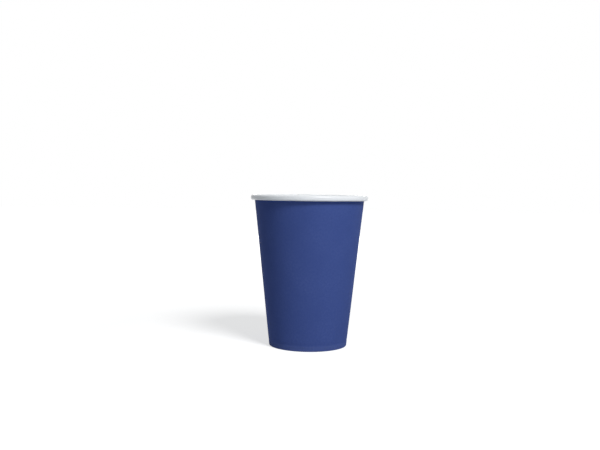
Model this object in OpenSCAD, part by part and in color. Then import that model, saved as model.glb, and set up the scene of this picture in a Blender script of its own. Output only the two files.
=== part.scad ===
// Paper cup: a cone of coated board with a lapped side seam, a rolled rim and a hemmed foot,
// and a base disc whose skirt is sealed inside the hem. The origin is the centre of the foot.

/* [Cup] */
// Overall height, from the table to the top of the rim
cup_h = 100.4; // [80:0.1:130]
// Outside diameter of the rolled rim
rim_d = 78; // [70:0.5:92]
// Outside diameter of the cone where it meets the table
foot_d = 51.8; // [44:0.2:60]

/* [Board] */
// Thickness of the side wall's board
wall_board = 0.35; // [0.25:0.01:0.45]
// Thickness of the base's board
base_board = 0.3; // [0.2:0.01:0.4]
// Sealing film between two plies of board
seal_film = 0.03; // [0.02:0.01:0.05]

/* [Rim] */
// Width of the rolled bead, from the cup's inside face outward
bead_w = 2.7; // [2.5:0.1:3.6]
// Height of the straight band on the outside of the bead
bead_band = 1; // [0.2:0.1:1.4]
// Air between the turns of the curl
curl_gap = 0.1; // [0.05:0.01:0.15]
// How far the cut edge turns on inside the bead, in degrees
curl_tuck = 90; // [30:5:120]

/* [Base] */
// Height of the base's top face above the table
base_lift = 5; // [4:0.1:8]
// Inside radius of the fold at the edge of the base
base_fold = 0.5; // [0.3:0.1:0.8]
// Inside radius of the folds at the foot
foot_fold = 0.05; // [0.03:0.01:0.1]
// Space between the hem's cut edge and the fold of the base
hem_clear = 0.3; // [0.2:0.1:0.8]

/* [Side seam] */
// Overlap of the blank's two ends
lap_w = 7; // [5:0.5:9]
// Width over which the outer ply settles back onto the cone
lap_settle = 3; // [2:0.5:4]
// Distance from the ends of the raised lap to the rim bead and to the foot
lap_stop = 0.5; // [0.3:0.1:1]

/* [Hidden] */
print_blue = "#3A4B81";
board_white = "#ECEEF0";
$fn = 180;
arc_step = 10;

// Rim: centre of the bead's top curl, and how much each half turn shrinks
foot_r = foot_d / 2;
bead_r = (bead_w - wall_board) / 2;
curl_step = (wall_board + curl_gap) / 2;
rim_c = [rim_d / 2 - wall_board / 2 - bead_r, cup_h - wall_board / 2 - bead_r];
bead_bottom = rim_c[1] - bead_band - (bead_r - curl_step) - wall_board / 2;

// Cone: the half angle at which the outside face runs from the foot into the bead
taper = acos((bead_r - wall_board / 2) / norm([rim_c[0] - foot_r, rim_c[1]]))
    - atan2(rim_c[1], rim_c[0] - foot_r);
up_wall = [sin(taper), cos(taper)];
out_wall = [cos(taper), -sin(taper)];
wall_top = rim_c - bead_r * out_wall;
mean_r = (foot_r + wall_top[0]) / 2;

// Foot: the hem turns back up with a pocket for the base's skirt between its plies
pocket_w = base_board + 2 * seal_film;
foot_mid = foot_fold + wall_board / 2;
foot_c = ply_point(foot_fold + wall_board, foot_fold + wall_board);
wall_foot = foot_c + foot_mid * out_wall;
foot_flat = (pocket_w - 2 * foot_fold) / cos(taper);
hem_c = foot_c - [foot_flat, 0];

// Base: centre of the fold between the disc and its skirt
base_mid = base_fold + base_board / 2;
base_c = ply_point(base_lift - base_board / 2 - base_mid,
    wall_board + seal_film + base_board / 2 + base_mid);
skirt_end = wall_board + seal_film + base_board / 2 * sin(taper);
skirt_len = (base_c[1] - base_mid * sin(taper) - skirt_end) / cos(taper);
hem_len = (base_c - hem_c) * up_wall - hem_clear;

// Side seam: the outer ply lies over the inner ply's end, then slopes down to the wall past it
lap_rise = wall_board + seal_film;
lap_angle = arc_angle(lap_w);
lap_low = foot_fold + wall_board + lap_stop;
lap_high = bead_bottom - lap_stop;
slope_drop = pow(lap_settle, 2) / foot_d;
slope = (lap_rise + slope_drop) / lap_settle;

// Angle that a width along the wall takes up at the cup's mean radius
function arc_angle(width) = width / mean_r * 180 / PI;

// Outside radius of the cone at a height
function wall_r(z) = foot_r + z * tan(taper);

// Point at a height, at a depth below the cone's outside face
function ply_point(z, depth) = [wall_r(z) - depth / cos(taper), z];

// Section of a sheet: a path starts at a point with a heading and follows straights and bends.
// A move is [length] for a straight, or [radius, turn] for a bend, where a left turn is positive.
function bend(at, heading, radius, turn) =
    let (side = heading + 90 * sign(turn),
         centre = at + radius * [cos(side), sin(side)],
         steps = ceil(abs(turn) / arc_step))
    [for (i = [1 : steps])
        let (a = heading + turn * i / steps, back = a - 90 * sign(turn))
        [centre[0] + radius * cos(back), centre[1] + radius * sin(back), a]];

function straight(at, heading, length) =
    [[at[0] + length * cos(heading), at[1] + length * sin(heading), heading]];

function follow(moves, at, heading, i = 0) =
    i == len(moves) ? [] :
    let (m = moves[i],
         leg = len(m) == 1 ? straight(at, heading, m[0]) : bend(at, heading, m[0], m[1]),
         last = leg[len(leg) - 1])
    concat(leg, follow(moves, [last[0], last[1]], last[2], i + 1));

function sheet_path(at, heading, moves) = concat([[at[0], at[1], heading]], follow(moves, at, heading));

function turned_back(path) =
    [for (i = [len(path) - 1 : -1 : 0]) [path[i][0], path[i][1], path[i][2] + 180]];

function side_line(path, depth) = [for (p = path) [p[0] - depth * sin(p[2]), p[1] + depth * cos(p[2])]];

// Board of a thickness along a path, turned about the cup's axis
module turned_sheet(path, board) {
    left = side_line(path, board / 2);
    right = side_line(path, -board / 2);
    rotate_extrude()
        polygon(concat(left, [for (i = [len(right) - 1 : -1 : 0]) right[i]]));
}

// Wall and hem: from the hem's cut edge round the foot and up to the rim
module wall_sheet() {
    hem = sheet_path(wall_foot, 270 - taper, [
        [foot_mid, taper - 90],
        [foot_flat],
        [foot_mid, -90 - taper],
        [hem_len]]);
    wall_end = [wall_top[0], wall_top[1], 90 - taper];
    turned_sheet(concat(turned_back(hem), [wall_end]), wall_board);
}

// Rolled rim: the top edge curls outward and down, and its cut edge tucks up inside
module rim_bead() {
    turned_sheet(sheet_path(wall_top, 90 - taper, [
        [bead_r, taper - 180],
        [bead_band],
        [bead_r - curl_step, -180],
        [bead_r - 2 * curl_step, -curl_tuck]]), wall_board);
}

// Prism along the wall past the inner ply's end, with its section measured from a depth
module seam_prism(low, high, depth, section) {
    rotate([0, 0, lap_angle])
        translate([0, foot_r - depth / cos(taper), 0])
            rotate([-taper, 0, 0])
                translate([0, 0, low])
                    linear_extrude(high - low)
                        polygon(section);
}

// Outer ply of the side seam: its cut edge stands proud, and its other side slopes to the wall
module lap_ply() {
    reach = 2 * lap_settle;
    difference() {
        rotate([0, 0, 90])
            rotate_extrude(angle = lap_angle + arc_angle(reach))
                polygon([
                    [wall_r(lap_low) - wall_board / 2, lap_low],
                    [wall_r(lap_low) + lap_rise, lap_low],
                    [wall_r(lap_high) + lap_rise, lap_high],
                    [wall_r(lap_high) - wall_board / 2, lap_high]]);
        seam_prism(-reach, cup_h + reach, 0, [
            [reach, lap_rise + reach * slope], [-2 * reach, lap_rise - 2 * reach * slope],
            [-2 * reach, reach], [reach, reach]]);
    }
}

// Inside face of the seam: the inner ply's cut edge shows as a fine step
module inner_edge() {
    seam_prism(base_lift + lap_stop, lap_high, wall_board, [
        [0, lap_rise / 2], [0, -lap_settle], [-lap_settle, -lap_settle], [-lap_settle, -slope_drop]]);
}

module side_wall() {
    color(print_blue)
        difference() {
            union() {
                wall_sheet();
                lap_ply();
            }
            inner_edge();
        }
    color(board_white)
        rim_bead();
}

// Base: a flat disc with a skirt that turns down into the hem's pocket
module base_disc() {
    color(board_white)
        turned_sheet(sheet_path([0, base_lift - base_board / 2], 0, [
            [base_c[0]],
            [base_mid, -90 - taper],
            [skirt_len]]), base_board);
}

side_wall();
base_disc();
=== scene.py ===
from math import acos, atan2, cos, degrees, exp, hypot, pi, radians, sin, tan

import bmesh
import bpy
from mathutils import Euler, Matrix, Vector, noise


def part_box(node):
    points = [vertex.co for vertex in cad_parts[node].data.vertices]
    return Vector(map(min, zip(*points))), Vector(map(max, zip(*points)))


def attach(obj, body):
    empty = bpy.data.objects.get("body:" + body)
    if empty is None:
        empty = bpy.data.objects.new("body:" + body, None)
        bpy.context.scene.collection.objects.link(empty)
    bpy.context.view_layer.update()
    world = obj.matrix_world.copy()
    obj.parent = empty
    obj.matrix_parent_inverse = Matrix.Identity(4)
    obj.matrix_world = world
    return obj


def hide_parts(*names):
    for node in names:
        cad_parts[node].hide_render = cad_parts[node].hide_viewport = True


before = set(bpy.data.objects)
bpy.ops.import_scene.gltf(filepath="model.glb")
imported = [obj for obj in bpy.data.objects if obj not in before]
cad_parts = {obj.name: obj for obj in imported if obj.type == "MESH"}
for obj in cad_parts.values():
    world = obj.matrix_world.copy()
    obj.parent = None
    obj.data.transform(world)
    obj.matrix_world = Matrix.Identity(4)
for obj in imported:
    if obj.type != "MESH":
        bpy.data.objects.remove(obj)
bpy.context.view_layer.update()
scene = bpy.context.scene
scene.view_settings.view_transform = "Standard"
mm = 0.001
print("frame loaded:", ", ".join(sorted(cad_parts)))

# the cup's own sizes in millimetres
cup = {
    "footDiameter": 51.8,
    "wallBoard": 0.35,
    "baseBoard": 0.3,
    "sealFilm": 0.03,
    "beadWidth": 2.7,
    "creaseAngle": 50,  # degrees, edges sharper than this stay crisp
}

# the frame's meshes are faceted a few microns short, so the sizes read from them are rounded
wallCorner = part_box("side_wall")[1]
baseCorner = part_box("base_disc")[1]
cupHeight = round(wallCorner.z / mm, 1)
rimRadius = round(wallCorner.x / mm, 1)
baseLift = round(baseCorner.z / mm, 1)

# the cone runs from the foot into the bead's round top
footRadius = cup["footDiameter"] / 2
beadRadius = (cup["beadWidth"] - cup["wallBoard"]) / 2
rimCentre = Vector((rimRadius, 0, cupHeight)) - Vector((1, 0, 1)) * cup["beadWidth"] / 2
rimOut = rimCentre.x - footRadius
taper = acos((beadRadius - cup["wallBoard"] / 2) / hypot(rimOut, rimCentre.z)) - atan2(rimCentre.z, rimOut)
taperDegrees = degrees(taper)
upWall = Vector((sin(taper), 0, cos(taper)))
outWall = Vector((cos(taper), 0, -sin(taper)))
wallTop = rimCentre - outWall * beadRadius


# point at a height, at a depth under the cone's outside face
def plyPoint(z, depth):
    return Vector((footRadius + z * tan(taper) - depth / cos(taper), 0, z))


def smoothStep(low, high, value):
    share = min(max((value - low) / (high - low), 0), 1)
    return share * share * (3 - 2 * share)


# draws a board's section in the XZ plane from one vertex on:
# a move is (length, steps) for a straight, or (radius, turn in degrees, steps) for a bend
def drawSection(bm, start, heading, moves):
    drawn = [start]
    angle = radians(heading)
    for move in moves:
        if len(move) == 2:
            length, steps = move
            run = Vector((cos(angle), 0, sin(angle))) * length * mm / steps
            for step in range(steps):
                tip = bmesh.ops.extrude_vert_indiv(bm, verts=[drawn[-1]])["verts"][0]
                bmesh.ops.translate(bm, verts=[tip], vec=run)
                drawn.append(tip)
        else:
            radius, turn, steps = move
            side = angle + (pi / 2 if turn > 0 else -pi / 2)
            centre = drawn[-1].co + Vector((cos(side), 0, sin(side))) * radius * mm
            bmesh.ops.spin(bm, geom=[drawn[-1]], cent=centre, axis=(0, -1, 0),
                           angle=radians(turn), steps=steps)
            bm.verts.ensure_lookup_table()
            drawn.extend(bm.verts[-steps:])
            angle += radians(turn)
    return drawn


# gives a sheet its thickness: first finish on its face, second on its back, third on its cut edges
def thickenSheet(bm, name, finishes, thickness):
    mesh = bpy.data.meshes.new(name)
    bm.to_mesh(mesh)
    bm.free()
    for finish in finishes:
        mesh.materials.append(finish)
    sheet = bpy.data.objects.new(name, mesh)
    scene.collection.objects.link(sheet)
    board = sheet.modifiers.new("board", "SOLIDIFY")
    board.thickness = thickness * mm
    board.offset = 0
    board.use_even_offset = True
    board.material_offset = 1
    board.material_offset_rim = 2
    bpy.context.view_layer.update()
    solid = bpy.data.meshes.new_from_object(sheet.evaluated_get(bpy.context.evaluated_depsgraph_get()))
    sheet.modifiers.clear()
    sheet.data = solid
    bpy.data.meshes.remove(mesh)
    solid.name = name
    solid.polygons.foreach_set("use_smooth", [True] * len(solid.polygons))
    solid.set_sharp_from_angle(angle=radians(cup["creaseAngle"]))
    return sheet


# node helpers
def noiseNode(nodes, links, source, scale, detail, roughness, stretch=(1, 1, 1)):
    mapping = nodes.new("ShaderNodeMapping")
    mapping.inputs["Scale"].default_value = stretch
    texture = nodes.new("ShaderNodeTexNoise")
    texture.inputs["Scale"].default_value = scale
    texture.inputs["Detail"].default_value = detail
    texture.inputs["Roughness"].default_value = roughness
    links.new(source, mapping.inputs["Vector"])
    links.new(mapping.outputs["Vector"], texture.inputs["Vector"])
    return texture.outputs["Fac"]


def mapRange(nodes, links, source, fromLow, fromHigh, toLow, toHigh):
    node = nodes.new("ShaderNodeMapRange")
    node.inputs["From Min"].default_value = fromLow
    node.inputs["From Max"].default_value = fromHigh
    node.inputs["To Min"].default_value = toLow
    node.inputs["To Max"].default_value = toHigh
    links.new(source, node.inputs["Value"])
    return node.outputs["Result"]


def mathNode(nodes, links, operation, first, second):
    node = nodes.new("ShaderNodeMath")
    node.operation = operation
    links.new(first, node.inputs[0])
    links.new(second, node.inputs[1])
    return node.outputs[0]


# the Mix node keeps its colours in sockets 6 and 7, and gives them out at 2
def mixColour(nodes, links, share, first, second):
    node = nodes.new("ShaderNodeMix")
    node.data_type = "RGBA"
    for socket, value in ((0, share), (6, first), (7, second)):
        if isinstance(value, bpy.types.NodeSocket):
            links.new(value, node.inputs[socket])
        else:
            node.inputs[socket].default_value = value
    return node.outputs[2]


# bump layers of (height, (strength, depth in millimetres)), one on top of the other
def bumpChain(nodes, links, layers):
    normal = None
    for height, (strength, depth) in layers:
        node = nodes.new("ShaderNodeBump")
        node.inputs["Strength"].default_value = strength
        node.inputs["Distance"].default_value = depth * mm
        links.new(height, node.inputs["Height"])
        if normal:
            links.new(normal, node.inputs["Normal"])
        normal = node.outputs["Normal"]
    return normal


noiseSpan = (0.3, 0.7)  # where most of a noise's values lie

# navy print on the outside of the wall, with the board's fibres under the ink
navyPrint = {
    "ink": (0.046, 0.077, 0.256, 1),
    "thinInk": (0.060, 0.095, 0.291, 1),
    # paler ink: where it rubs off, and over the wall's lowest few millimetres above the foot
    "paleInk": (0.145, 0.180, 0.340, 1),
    "roughness": (0.58, 0.70),
    "specular": 0.03,
    # noise layers: scale, detail, roughness and stretch
    "clouds": (55, 3, 0.55),
    "mottle": (700, 4, 0.6),
    "fibre": (1500, 3, 0.6, (1, 0.16, 1)),
    "tooth": (5200, 2, 0.5),
    # how far each layer thins the ink or lets it rub off
    "cloudThins": (0.35, 1),
    "mottleThins": (0.2, 1),
    "rubSpan": (0.35, 0.65),
    "fibreRubs": (0.25, 0.8),
    # bump layers: strength, and depth in millimetres
    "cloudBump": (0.25, 0.35),
    "fibreBump": (0.30, 0.05),
    "toothBump": (0.25, 0.02),
}


def makeNavyPrint():
    finish = bpy.data.materials.new("navyPrint")
    finish.use_nodes = True
    nodes, links = finish.node_tree.nodes, finish.node_tree.links
    shader = nodes["Principled BSDF"]
    blank = nodes.new("ShaderNodeAttribute")
    blank.attribute_name = "blank"
    flat = blank.outputs["Vector"]
    clouds = noiseNode(nodes, links, flat, *navyPrint["clouds"])
    mottle = noiseNode(nodes, links, flat, *navyPrint["mottle"])
    fibre = noiseNode(nodes, links, flat, *navyPrint["fibre"])
    tooth = noiseNode(nodes, links, flat, *navyPrint["tooth"])
    thin = mathNode(nodes, links, "MULTIPLY",
                    mapRange(nodes, links, clouds, *noiseSpan, *navyPrint["cloudThins"]),
                    mapRange(nodes, links, mottle, *noiseSpan, *navyPrint["mottleThins"]))
    ink = mixColour(nodes, links, thin, navyPrint["ink"], navyPrint["thinInk"])
    # the ink rubs off along the foot's fold and the seam's cut edge, and is made paler over the wall's
    # lowest few millimetres
    wearAndPaling = nodes.new("ShaderNodeAttribute")
    wearAndPaling.attribute_name = "wearAndPaling"
    inkPaling = mathNode(nodes, links, "MULTIPLY", wearAndPaling.outputs["Fac"],
                   mapRange(nodes, links, fibre, *navyPrint["rubSpan"], *navyPrint["fibreRubs"]))
    links.new(mixColour(nodes, links, inkPaling, ink, navyPrint["paleInk"]), shader.inputs["Base Color"])
    gloss = mapRange(nodes, links, mottle, *noiseSpan, *navyPrint["roughness"])
    links.new(gloss, shader.inputs["Roughness"])
    shader.inputs["Specular IOR Level"].default_value = navyPrint["specular"]
    relief = bumpChain(nodes, links, [
        (clouds, navyPrint["cloudBump"]),
        (fibre, navyPrint["fibreBump"]),
        (tooth, navyPrint["toothBump"])])
    links.new(relief, shader.inputs["Normal"])
    return finish


# white board: coated where the drink touches it, bare under the base and at cut edges
coatedWhite = {
    "board": (0.815, 0.836, 0.856, 1),
    "shade": (0.775, 0.796, 0.818, 1),
    "fleck": (0.680, 0.665, 0.640, 1),
    "roughness": (0.34, 0.42),
    "specular": 0.5,
    "coat": 0.35,
}

bareBoard = {
    "board": (0.790, 0.785, 0.770, 1),
    "shade": (0.730, 0.720, 0.700, 1),
    "fleck": (0.560, 0.530, 0.480, 1),
    "roughness": (0.72, 0.88),
    "specular": 0.2,
    "coat": 0,
}

cutEdge = {
    "board": (0.780, 0.765, 0.735, 1),
    "shade": (0.690, 0.670, 0.630, 1),
    "fleck": (0.540, 0.510, 0.460, 1),
    "roughness": (0.85, 0.95),
    "specular": 0.15,
    "coat": 0,
}

# grain that every white board shares, in the same kinds of layers as the print's
whiteGrain = {
    "clouds": (90, 3, 0.55),
    "mottle": (900, 4, 0.6),
    "fibre": (1600, 3, 0.6, (1, 0.16, 1)),
    "flecks": (1100, 1, 0.4, (1, 0.35, 1)),
    "fleckSpan": (0.74, 0.80),
    "fleckStrength": 0.3,
    "cloudBump": (0.2, 0.3),
    "fibreBump": (0.25, 0.04),
    "coatRoughness": 0.4,
}


def makeWhiteBoard(name, look, onBlank):
    finish = bpy.data.materials.new(name)
    finish.use_nodes = True
    nodes, links = finish.node_tree.nodes, finish.node_tree.links
    shader = nodes["Principled BSDF"]
    if onBlank:
        place = nodes.new("ShaderNodeAttribute")
        place.attribute_name = "blank"
        flat = place.outputs["Vector"]
    else:
        place = nodes.new("ShaderNodeTexCoord")
        flat = place.outputs["Object"]
    clouds = noiseNode(nodes, links, flat, *whiteGrain["clouds"])
    mottle = noiseNode(nodes, links, flat, *whiteGrain["mottle"])
    fibre = noiseNode(nodes, links, flat, *whiteGrain["fibre"])
    flecks = noiseNode(nodes, links, flat, *whiteGrain["flecks"])
    tone = mixColour(nodes, links, mapRange(nodes, links, mottle, *noiseSpan, 0, 1),
                     look["board"], look["shade"])
    speck = mapRange(nodes, links, flecks, *whiteGrain["fleckSpan"], 0, whiteGrain["fleckStrength"])
    links.new(mixColour(nodes, links, speck, tone, look["fleck"]), shader.inputs["Base Color"])
    gloss = mapRange(nodes, links, mottle, *noiseSpan, *look["roughness"])
    links.new(gloss, shader.inputs["Roughness"])
    shader.inputs["Specular IOR Level"].default_value = look["specular"]
    shader.inputs["Coat Weight"].default_value = look["coat"]
    shader.inputs["Coat Roughness"].default_value = whiteGrain["coatRoughness"]
    relief = bumpChain(nodes, links, [
        (clouds, whiteGrain["cloudBump"]),
        (fibre, whiteGrain["fibreBump"])])
    links.new(relief, shader.inputs["Normal"])
    return finish


printFinish = makeNavyPrint()
insideFinish = makeWhiteBoard("coatedWhite", coatedWhite, True)
baseFinish = makeWhiteBoard("coatedBase", coatedWhite, False)
bareFinish = makeWhiteBoard("bareBoard", bareBoard, False)
edgeFinish = makeWhiteBoard("cutEdge", cutEdge, False)
print("board finishes made")


# base: a disc with its skirt turned down into the hem
base = {
    "fold": 0.5,
    "rings": 14,
    "foldSteps": 10,
    "skirtSteps": 4,
    "segments": 144,
    "weld": 0.002,
    "wave": 0.04,
    "waveScale": 60,
    "waveFades": (20.0, 24.5),  # radii between which the wave dies out
}

baseFold = base["fold"] + cup["baseBoard"] / 2
baseFoldCentre = plyPoint(baseLift - cup["baseBoard"] / 2 - baseFold,
                          cup["wallBoard"] + cup["sealFilm"] + cup["baseBoard"] / 2 + baseFold)


def makeBaseDisc():
    skirtEnd = cup["wallBoard"] + cup["sealFilm"] + cup["baseBoard"] / 2 * sin(taper)
    skirtLength = (baseFoldCentre.z - baseFold * sin(taper) - skirtEnd) / cos(taper)
    bm = bmesh.new()
    start = bm.verts.new((0, 0, (baseLift - cup["baseBoard"] / 2) * mm))
    drawSection(bm, start, 0, [
        (baseFoldCentre.x, base["rings"]),
        (baseFold, -90 - taperDegrees, base["foldSteps"]),
        (skirtLength, base["skirtSteps"])])
    bmesh.ops.spin(bm, geom=bm.verts[:] + bm.edges[:], cent=(0, 0, 0), axis=(0, 0, 1),
                   angle=2 * pi, steps=base["segments"], use_merge=True)
    bmesh.ops.remove_doubles(bm, verts=bm.verts[:], dist=base["weld"] * mm)
    bmesh.ops.recalc_face_normals(bm, faces=bm.faces[:])
    top = max(bm.faces, key=lambda face: face.calc_center_median().z)
    if top.normal.z < 0:
        bmesh.ops.reverse_faces(bm, faces=bm.faces[:])
    for vert in bm.verts:
        fade = 1 - smoothStep(*base["waveFades"], hypot(vert.co.x, vert.co.y) / mm)
        vert.co.z += base["wave"] * mm * fade * noise.noise(vert.co * base["waveScale"])
    return thickenSheet(bm, "baseDisc", (baseFinish, bareFinish, edgeFinish), cup["baseBoard"])


baseDisc = makeBaseDisc()
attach(baseDisc, "root")
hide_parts("base_disc")
print("base disc:", len(baseDisc.data.polygons), "faces")


# side wall: one fan-shaped blank, wrapped round and lapped, rolled at the rim and hemmed at the foot
wall = {
    "beadBand": 1.0,
    "curlGap": 0.1,
    "curlTuck": 90,
    "footFold": 0.05,
    "hemClear": 0.3,
    "lap": 7.0,
    "settle": 3.0,  # width over which a ply of the lap comes back to the cone
    "lapInRim": 0.12,
    "lapInFoot": 0.05,
    "lapFadesLow": (0.3, 4.0),  # distances up from the foot
    "lapFadesHigh": (5.0, 2.2),  # distances down from the rim
    "columnAngle": 1.0,
    "lowRun": 7.0,
    "lowSteps": 14,
    "highSteps": 26,
    "rimSteps": 18,
    "curlSteps": 16,
    "tuckSteps": 6,
    "foldSteps": 6,
    "hemSteps": 6,
    "wave": 0.05,
    "waveScale": 45,
    "ripple": 0.02,
    "rippleScale": 130,
    "ribColumns": 4,
    "ribDepth": 0.07,
    "ribFades": (0.3, 0.9),  # distances in from the hem's two ends
    "hemLine": 3.7,  # about where the hem's cut edge lies on the inside
    "hemLineWidth": 0.9,
    "hemLineDepth": 0.07,
    "foldWearReach": 0.3,
    # how much paler the ink is made below the hem line, and the height over which that fades
    "footPaling": 0.25,
    "footPalingFade": 1.0,
    "edgeWear": 0.7,
    "edgeWearReach": 0.6,
    "mapInset": 0.01,  # shares of the bake map's side
    "mapBorder": 0.005,
}

curlStep = (cup["wallBoard"] + wall["curlGap"]) / 2
footMid = wall["footFold"] + cup["wallBoard"] / 2
footCentre = plyPoint(wall["footFold"] + cup["wallBoard"], wall["footFold"] + cup["wallBoard"])
footFlat = (cup["baseBoard"] + 2 * cup["sealFilm"] - 2 * wall["footFold"]) / cos(taper)
hemLength = (baseFoldCentre - footCentre + Vector((footFlat, 0, 0))).dot(upWall) - wall["hemClear"]
wallFoot = footCentre + outWall * footMid
wallLength = (wallTop - wallFoot).length

# the wrap goes on past a full turn by the lap
meanRadius = (footRadius + wallTop.x) / 2
lapTurn = wall["lap"] / meanRadius
settleTurn = wall["settle"] / meanRadius
wholeTurn = 2 * pi + lapTurn
columns = round(wholeTurn / radians(wall["columnAngle"]))


# section of the sheet: up the wall into the curl, and down round the foot into the hem
def drawWallSection(bm, alongLayer):
    start = bm.verts.new(wallFoot * mm)
    up = drawSection(bm, start, 90 - taperDegrees, [
        (wall["lowRun"], wall["lowSteps"]),
        (wallLength - wall["lowRun"], wall["highSteps"]),
        (beadRadius, taperDegrees - 180, wall["rimSteps"]),
        (wall["beadBand"], 1),
        (beadRadius - curlStep, -180, wall["curlSteps"]),
        (beadRadius - 2 * curlStep, -wall["curlTuck"], wall["tuckSteps"])])
    down = drawSection(bm, start, 270 - taperDegrees, [
        (footMid, taperDegrees - 90, wall["foldSteps"]),
        (footFlat, 1),
        (footMid, -90 - taperDegrees, wall["foldSteps"]),
        (hemLength, wall["hemSteps"])])
    for branch, way in ((up, 1), (down, -1)):
        for before, after in zip(branch, branch[1:]):
            after[alongLayer] = before[alongLayer] + way * (after.co - before.co).length / mm
    foldAt = down[wall["foldSteps"]][alongLayer]
    hemEnd = down[-1][alongLayer]
    curlEnd = up[-1][alongLayer]
    return foldAt, hemEnd, curlEnd


def wrapWall(bm):
    bmesh.ops.rotate(bm, verts=bm.verts[:], cent=(0, 0, 0), matrix=Matrix.Rotation(pi / 2, 3, "Z"))
    bmesh.ops.spin(bm, geom=bm.verts[:] + bm.edges[:], cent=(0, 0, 0), axis=(0, 0, 1),
                   angle=wholeTurn, steps=columns)
    bm.verts.index_update()
    middle = min(bm.faces, key=lambda face: abs(face.calc_center_median().z - cupHeight * mm / 2))
    middle.normal_update()
    if middle.normal.dot(middle.calc_center_median()) < 0:
        bmesh.ops.reverse_faces(bm, faces=bm.faces[:])
    bm.normal_update()


# lays the blank flat for its grain, as a fan about the cone's point
def layBlank(bm, alongLayer, blankLayer, sectionCount):
    fanRadius = footRadius / sin(taper)
    for vert in bm.verts:
        turn = (vert.index // sectionCount) * wholeTurn / columns
        fanTurn = (turn - wholeTurn / 2) * sin(taper)
        reach = (fanRadius + vert[alongLayer]) * mm
        vert[blankLayer] = (reach * sin(fanTurn), reach * cos(fanTurn), 0)


# lifts the outer ply over the lap, marks the hem, presses its ribs, and lets the board wave a little
def shapeWall(bm, alongLayer, wearAndPalingLayer, sectionCount, foldAt, hemEnd):
    lapRise = cup["wallBoard"] + cup["sealFilm"]
    rimFades = [wallLength - distance for distance in wall["lapFadesHigh"]]
    hemStart = hemEnd + hemLength
    nearFold, farFold = [hemStart - distance for distance in wall["ribFades"]]
    nearEdge, farEdge = [hemEnd + distance for distance in wall["ribFades"]]
    moves = []
    for vert in bm.verts:
        column = vert.index // sectionCount
        turn = column * wholeTurn / columns
        along = vert[alongLayer]
        low = 1 - smoothStep(*wall["lapFadesLow"], along)
        inRim = smoothStep(*rimFades, along)
        onWall = 1 - low - inRim
        outerPly = 1 - smoothStep(lapTurn, lapTurn + settleTurn, turn)
        innerPly = smoothStep(2 * pi - settleTurn, 2 * pi, turn)
        inHem = smoothStep(nearFold, farFold, along) * smoothStep(nearEdge, farEdge, along)
        fromLine = (along - wall["hemLine"]) / wall["hemLineWidth"]
        lift = outerPly * (lapRise * onWall + wall["lapInRim"] * inRim)
        lift -= innerPly * (wall["lapInFoot"] * low + wall["lapInRim"] * inRim)
        lift -= wall["hemLineDepth"] * exp(-fromLine * fromLine)
        lift += wall["ribDepth"] * inHem * (0.5 - 0.5 * cos(2 * pi * column / wall["ribColumns"]))
        lift += wall["wave"] * onWall * noise.noise(vert.co * wall["waveScale"])
        lift += wall["ripple"] * (1 - low) * noise.noise(vert.co * wall["rippleScale"])
        moves.append((vert, vert.normal * lift * mm))
        # the ink is made paler below the hem line, fading out just under it
        aboveFoot = smoothStep(wall["hemLine"] - wall["footPalingFade"], wall["hemLine"], along)
        pastEdge = smoothStep(0, wall["edgeWearReach"] / meanRadius, turn)
        foldWear = 1 - min(abs(along - foldAt) / wall["foldWearReach"], 1)
        footPaling = wall["footPaling"] * (1 - aboveFoot)
        edgeWear = wall["edgeWear"] * (1 - pastEdge)
        vert[wearAndPalingLayer] = max(foldWear, footPaling, edgeWear)
    for vert, move in moves:
        vert.co += move


# map that the finishes are baked through: the print in the lower half, the white side
# in the upper half, and the cut edges as a border round the print
def layBakeMap(sheet, sectionCount, hemEnd, curlEnd):
    mesh = sheet.data
    spots = mesh.uv_layers.new(name="OFBake").uv
    along = mesh.attributes["along"].data
    inset, border = wall["mapInset"], wall["mapBorder"]
    backStart = len(mesh.vertices) // 2  # the back's vertices follow the face's
    for face in mesh.polygons:
        for corner in face.loop_indices:
            index = mesh.loops[corner].vertex_index
            across = (index % backStart) // sectionCount / columns
            up = (along[index].value - hemEnd) / (curlEnd - hemEnd)
            x = inset + across * (1 - 2 * inset)
            y = inset + up * (0.5 - 2 * inset)
            if face.material_index == 1:
                x = 1 - x
                y += 0.5
            if face.material_index == 2 and index >= backStart:
                x += border * ((across == 1) - (across == 0))
                y += border * ((up == 1) - (up == 0))
            spots[corner].vector = (x, y)


def makeSideWall():
    bm = bmesh.new()
    alongLayer = bm.verts.layers.float.new("along")
    wearAndPalingLayer = bm.verts.layers.float.new("wearAndPaling")
    blankLayer = bm.verts.layers.float_vector.new("blank")
    foldAt, hemEnd, curlEnd = drawWallSection(bm, alongLayer)
    sectionCount = len(bm.verts)
    wrapWall(bm)
    layBlank(bm, alongLayer, blankLayer, sectionCount)
    shapeWall(bm, alongLayer, wearAndPalingLayer, sectionCount, foldAt, hemEnd)
    sheet = thickenSheet(bm, "sideWall", (printFinish, insideFinish, edgeFinish), cup["wallBoard"])
    layBakeMap(sheet, sectionCount, hemEnd, curlEnd)
    return sheet


sideWall = makeSideWall()
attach(sideWall, "root")
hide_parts("side_wall")
print("side wall:", len(sideWall.data.polygons), "faces")


# floor: white to the eye, and still holding the cup's shadow
floorLook = {
    "size": 6.0,
    "bounce": (0.69, 0.72, 0.75, 1),
    "seen": (0.60, 0.60, 0.60, 1),
    "glow": 0.64,
    "glowFades": (0.16, 0.60),
}


# 1 for what the camera sees, straight or by reflection
def seenRay(nodes, links):
    path = nodes.new("ShaderNodeLightPath")
    seen = mathNode(nodes, links, "MAXIMUM", path.outputs["Is Camera Ray"], path.outputs["Is Glossy Ray"])
    return mathNode(nodes, links, "MAXIMUM", seen, path.outputs["Is Transmission Ray"])


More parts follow.
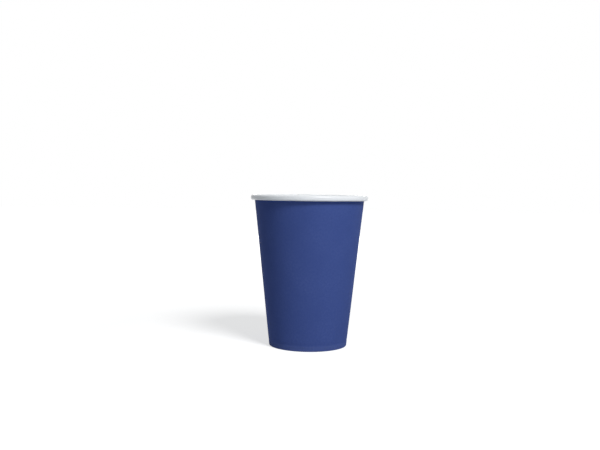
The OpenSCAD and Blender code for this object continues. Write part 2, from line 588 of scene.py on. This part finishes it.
def makeFloor():
    bm = bmesh.new()
    bmesh.ops.create_grid(bm, x_segments=1, y_segments=1, size=floorLook["size"] / 2)
    mesh = bpy.data.meshes.new("floor")
    bm.to_mesh(mesh)
    bm.free()
    floor = bpy.data.objects.new("floor", mesh)
    scene.collection.objects.link(floor)
    paper = bpy.data.materials.new("whiteFloor")
    paper.use_nodes = True
    nodes, links = paper.node_tree.nodes, paper.node_tree.links
    nodes.clear()
    seen = seenRay(nodes, links)
    paint = nodes.new("ShaderNodeBsdfDiffuse")
    links.new(mixColour(nodes, links, seen, floorLook["bounce"], floorLook["seen"]), paint.inputs["Color"])
    # the glow grows outwards, where the lamp's own light falls off
    place = nodes.new("ShaderNodeTexCoord")
    reach = nodes.new("ShaderNodeVectorMath")
    reach.operation = "LENGTH"
    links.new(place.outputs["Object"], reach.inputs[0])
    rise = mapRange(nodes, links, reach.outputs["Value"], *floorLook["glowFades"], floorLook["glow"], 1)
    glow = nodes.new("ShaderNodeEmission")
    links.new(mathNode(nodes, links, "MULTIPLY", rise, seen), glow.inputs["Strength"])
    both = nodes.new("ShaderNodeAddShader")
    links.new(paint.outputs[0], both.inputs[0])
    links.new(glow.outputs[0], both.inputs[1])
    output = nodes.new("ShaderNodeOutputMaterial")
    links.new(both.outputs[0], output.inputs["Surface"])
    mesh.materials.append(paper)


makeFloor()
print("floor laid")


# soft key from the front right, a weak lamp behind, and an even fill
studio = {
    "fill": 0.145,
    "fillColour": (0.90, 0.96, 1, 1),
    "backdrop": (1, 1, 1, 1),
    "lampAim": (0, 0, 0.05),
    "key": {"power": 7.9, "size": 0.34, "distance": 1.0, "azimuth": 30, "elevation": 45},
    "back": {"power": 3.0, "size": 0.40, "distance": 1.2, "azimuth": 180, "elevation": 12},
}


def makeLamp(name):
    look = studio[name]
    light = bpy.data.lights.new(name, "AREA")
    light.shape = "DISK"
    light.size = look["size"]
    light.energy = look["power"]
    lamp = bpy.data.objects.new(name, light)
    scene.collection.objects.link(lamp)
    azimuth, elevation = radians(look["azimuth"]), radians(look["elevation"])
    away = Vector((sin(azimuth) * cos(elevation), -cos(azimuth) * cos(elevation), sin(elevation)))
    lamp.location = Vector(studio["lampAim"]) + away * look["distance"]
    lamp.rotation_euler = away.to_track_quat("Z", "Y").to_euler()


def makeWorld():
    world = bpy.data.worlds.new("studio")
    scene.world = world
    world.use_nodes = True
    nodes, links = world.node_tree.nodes, world.node_tree.links
    background = nodes["Background"]
    seen = seenRay(nodes, links)
    sky = mixColour(nodes, links, seen, studio["fillColour"], studio["backdrop"])
    links.new(sky, background.inputs["Color"])
    links.new(mapRange(nodes, links, seen, 0, 1, studio["fill"], 1), background.inputs["Strength"])


makeWorld()
makeLamp("key")
makeLamp("back")
print("light set")


# camera at the photograph's place: millimetres and degrees, the focal length in pixels of the frame
shot = {
    "distance": 524.5,
    "height": 105.4,
    "pitch": 2.744,
    "yaw": -0.668,
    "roll": 0.695,
    "focalPixels": 784.75,
    "frameWidth": 600,
    "sensorWidth": 36,
    "clip": (0.01, 50),  # metres
}


def makeCamera():
    lens = bpy.data.cameras.new("camera")
    lens.sensor_width = shot["sensorWidth"]
    lens.lens = shot["sensorWidth"] * shot["focalPixels"] / shot["frameWidth"]
    lens.clip_start, lens.clip_end = shot["clip"]
    camera = bpy.data.objects.new("camera", lens)
    scene.collection.objects.link(camera)
    turn = Euler((radians(90 - shot["pitch"]), 0, radians(-shot["yaw"]))).to_matrix()
    turn = turn @ Matrix.Rotation(radians(shot["roll"]), 3, "Z")
    camera.rotation_euler = turn.to_euler()
    camera.location = (0, -shot["distance"] * mm, shot["height"] * mm)
    scene.camera = camera


makeCamera()
print("camera set")
